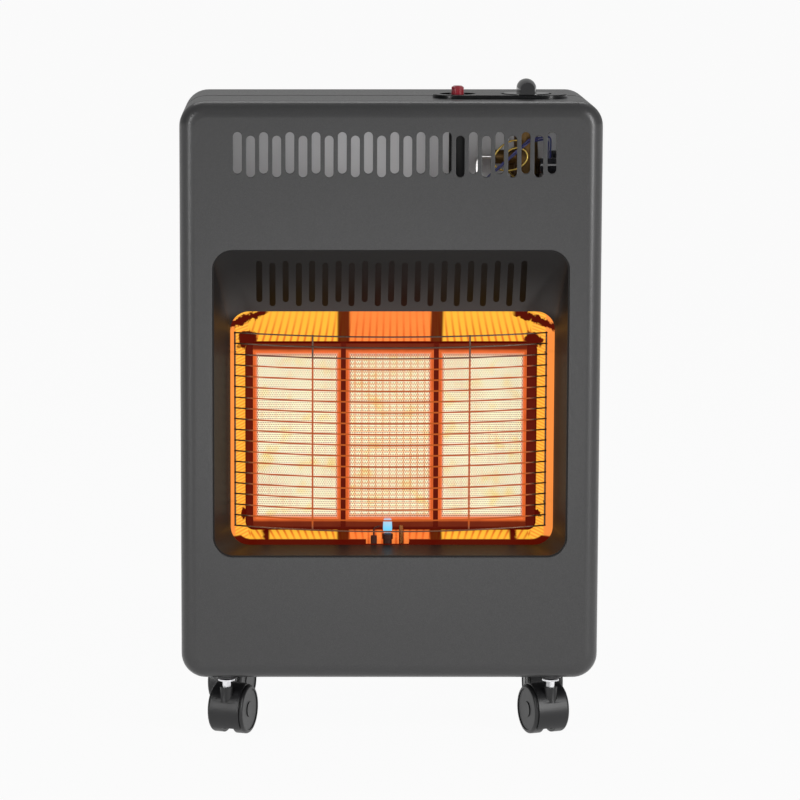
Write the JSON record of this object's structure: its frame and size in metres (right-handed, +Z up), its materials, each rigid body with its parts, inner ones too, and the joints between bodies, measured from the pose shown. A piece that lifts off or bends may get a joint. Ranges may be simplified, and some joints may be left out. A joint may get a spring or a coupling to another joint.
{
  "type": "portable propane heater",
  "caption": "Sheet-steel cabinet heater on swivelling casters: ceramic radiant burners behind a bowed wire guard in a flared surround, with a gas knob and push igniter on top.",
  "frame": {"origin": "on the floor, below the middle of the whole heater's bounding box", "axes": "+Z up; the front with the burner window faces -Y; +X to the right of somebody who looks at the front"},
  "size_m": [0.42, 0.23, 0.6674],
  "materials": {
    "cabinet_paint": "fine textured powder coat",
    "surround_paint": "satin heat-resistant enamel",
    "galvanised": "matt galvanised sheet",
    "bright_steel": "bright, heat tinted",
    "guard_chrome": "polished wire",
    "plaque_ceramic": "matt, perforated look",
    "fibre": "soft white fibre",
    "brass": "machined",
    "copper": "drawn copper",
    "black_gloss": "moulded gloss",
    "black_plastic": "moulded satin",
    "red_plastic": "moulded satin",
    "blue_sheath": "insulated wire",
    "lead_sheath": "silicone sleeve",
    "zinc": "zinc plated"
  },
  "bodies": {
    "cabinet": {"front_panel": "cabinet_paint", "rear_housing": "cabinet_paint", "back_panel": "galvanised", "chassis_panel": "galvanised", "base_rails": "galvanised", "radiant_surround": "surround_paint", "reflector": "bright_steel", "burner_housing_left": "bright_steel", "burner_housing_centre": "bright_steel", "burner_housing_right": "bright_steel", "ceramic_plaque_left": "plaque_ceramic", "ceramic_plaque_centre": "plaque_ceramic", "ceramic_plaque_right": "plaque_ceramic", "plaque_gaskets": "fibre", "burner_bars": "galvanised", "injector_jets": "brass", "burner_pipes": "bright_steel", "gas_valve": "brass", "control_plate": "surround_paint", "igniter_body": "black_plastic", "igniter_nut": "black_plastic", "igniter_spring": "bright_steel", "igniter_lead": "lead_sheath", "spark_electrode": "plaque_ceramic", "pilot_burner": "brass", "pilot_bracket": "bright_steel", "pilot_pipe": "bright_steel", "thermocouple": "copper", "tilt_switch": "black_gloss", "tilt_switch_wires": "blue_sheath", "wire_guard": "guard_chrome", "inlet_nozzle": "brass", "inlet_pipe": "copper", "sheet_screws": "bright_steel", "caster_nuts": "bright_steel", "caster_front_left_stem": "zinc", "caster_front_right_stem": "zinc", "caster_rear_left_stem": "zinc", "caster_rear_right_stem": "zinc"},
    "valve_core": {"valve_plug": "brass", "spindle_spring": "bright_steel"},
    "knob": {"valve_spindle": "bright_steel", "control_knob": "black_gloss"},
    "igniter_plunger": {"igniter_button": "red_plastic"},
    "caster_front_left": {"caster_front_left_hood": "black_plastic", "caster_front_left_axle": "zinc"},
    "wheel_front_left_left": {"caster_front_left_wheel_left": "black_plastic"},
    "wheel_front_left_right": {"caster_front_left_wheel_right": "black_plastic"},
    "caster_front_right": {"caster_front_right_hood": "black_plastic", "caster_front_right_axle": "zinc"},
    "wheel_front_right_left": {"caster_front_right_wheel_left": "black_plastic"},
    "wheel_front_right_right": {"caster_front_right_wheel_right": "black_plastic"},
    "caster_rear_left": {"caster_rear_left_hood": "black_plastic", "caster_rear_left_axle": "zinc"},
    "wheel_rear_left_left": {"caster_rear_left_wheel_left": "black_plastic"},
    "wheel_rear_left_right": {"caster_rear_left_wheel_right": "black_plastic"},
    "caster_rear_right": {"caster_rear_right_hood": "black_plastic", "caster_rear_right_axle": "zinc"},
    "wheel_rear_right_left": {"caster_rear_right_wheel_left": "black_plastic"},
    "wheel_rear_right_right": {"caster_rear_right_wheel_right": "black_plastic"}
  },
  "joints": [
    {"name": "knob_turn", "type": "hinge", "parent": "cabinet", "child": "valve_core", "pos_m": [0.137, -0.046, 0.6], "axis": [0, 0, 1], "range_deg": [-180, 0]},
    {"name": "knob_push", "type": "slide", "parent": "valve_core", "child": "knob", "axis": [0, 0, -1], "range_m": [0, 0.0025], "stiffness_N_per_m": 1200, "springref_m": -0.002, "deforming": ["spindle_spring"]},
    {"name": "igniter_push", "type": "slide", "parent": "cabinet", "child": "igniter_plunger", "axis": [0, 0, -1], "range_m": [0, 0.005], "stiffness_N_per_m": 1500, "springref_m": -0.002, "deforming": ["igniter_spring"]},
    {"name": "swivel_front_left", "type": "hinge", "parent": "cabinet", "child": "caster_front_left", "pos_m": [-0.165, -0.078, 0.04], "axis": [0, 0, 1], "continuous": true},
    {"name": "roll_front_left_left", "type": "hinge", "parent": "caster_front_left", "child": "wheel_front_left_left", "pos_m": [-0.15884, -0.06109, 0.025], "axis": [0.9397, -0.342, 0], "continuous": true},
    {"name": "roll_front_left_right", "type": "hinge", "parent": "caster_front_left", "child": "wheel_front_left_right", "pos_m": [-0.15884, -0.06109, 0.025], "axis": [0.9397, -0.342, 0], "continuous": true},
    {"name": "swivel_front_right", "type": "hinge", "parent": "cabinet", "child": "caster_front_right", "pos_m": [0.165, -0.078, 0.04], "axis": [0, 0, 1], "continuous": true},
    {"name": "roll_front_right_left", "type": "hinge", "parent": "caster_front_right", "child": "wheel_front_right_left", "pos_m": [0.15884, -0.06109, 0.025], "axis": [0.9397, 0.342, 0], "continuous": true},
    {"name": "roll_front_right_right", "type": "hinge", "parent": "caster_front_right", "child": "wheel_front_right_right", "pos_m": [0.15884, -0.06109, 0.025], "axis": [0.9397, 0.342, 0], "continuous": true},
    {"name": "swivel_rear_left", "type": "hinge", "parent": "cabinet", "child": "caster_rear_left", "pos_m": [-0.168, 0.056, 0.04], "axis": [0, 0, 1], "continuous": true},
    {"name": "roll_rear_left_left", "type": "hinge", "parent": "caster_rear_left", "child": "wheel_rear_left_left", "pos_m": [-0.16184, 0.07291, 0.025], "axis": [0.9397, -0.342, 0], "continuous": true},
    {"name": "roll_rear_left_right", "type": "hinge", "parent": "caster_rear_left", "child": "wheel_rear_left_right", "pos_m": [-0.16184, 0.07291, 0.025], "axis": [0.9397, -0.342, 0], "continuous": true},
    {"name": "swivel_rear_right", "type": "hinge", "parent": "cabinet", "child": "caster_rear_right", "pos_m": [0.168, 0.056, 0.04], "axis": [0, 0, 1], "continuous": true},
    {"name": "roll_rear_right_left", "type": "hinge", "parent": "caster_rear_right", "child": "wheel_rear_right_left", "pos_m": [0.16674, 0.07396, 0.025], "axis": [0.9976, 0.0698, 0], "continuous": true},
    {"name": "roll_rear_right_right", "type": "hinge", "parent": "caster_rear_right", "child": "wheel_rear_right_right", "pos_m": [0.16674, 0.07396, 0.025], "axis": [0.9976, 0.0698, 0], "continuous": true}
  ]
}
